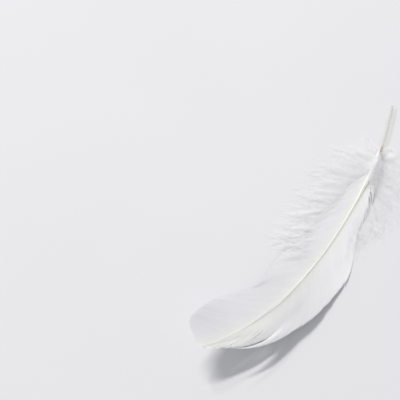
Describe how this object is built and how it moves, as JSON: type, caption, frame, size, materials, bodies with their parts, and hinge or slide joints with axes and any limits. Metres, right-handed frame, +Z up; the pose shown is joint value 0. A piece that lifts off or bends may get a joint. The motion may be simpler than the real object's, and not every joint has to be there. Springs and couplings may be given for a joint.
{
  "type": "goose quill feather",
  "caption": "White goose quill feather lying hollow side up: bare round quill, bowed shaft, two smooth vanes that curl up at the tip, and loose down at their foot.",
  "frame": {"origin": "middle of the footprint, on the surface the feather lies on", "axes": "+X from the quill's open end towards the vane's tip, +Y towards the leading vane, on the outside of the shaft's bow, +Z up, out of the hollow side"},
  "size_m": [0.1534, 0.056, 0.0168],
  "materials": {
    "feather": "matte",
    "quill": "satin",
    "vane": "matte",
    "down": "matte"
  },
  "bodies": {
    "root": {"feather": "feather"}
  },
  "joints": []
}
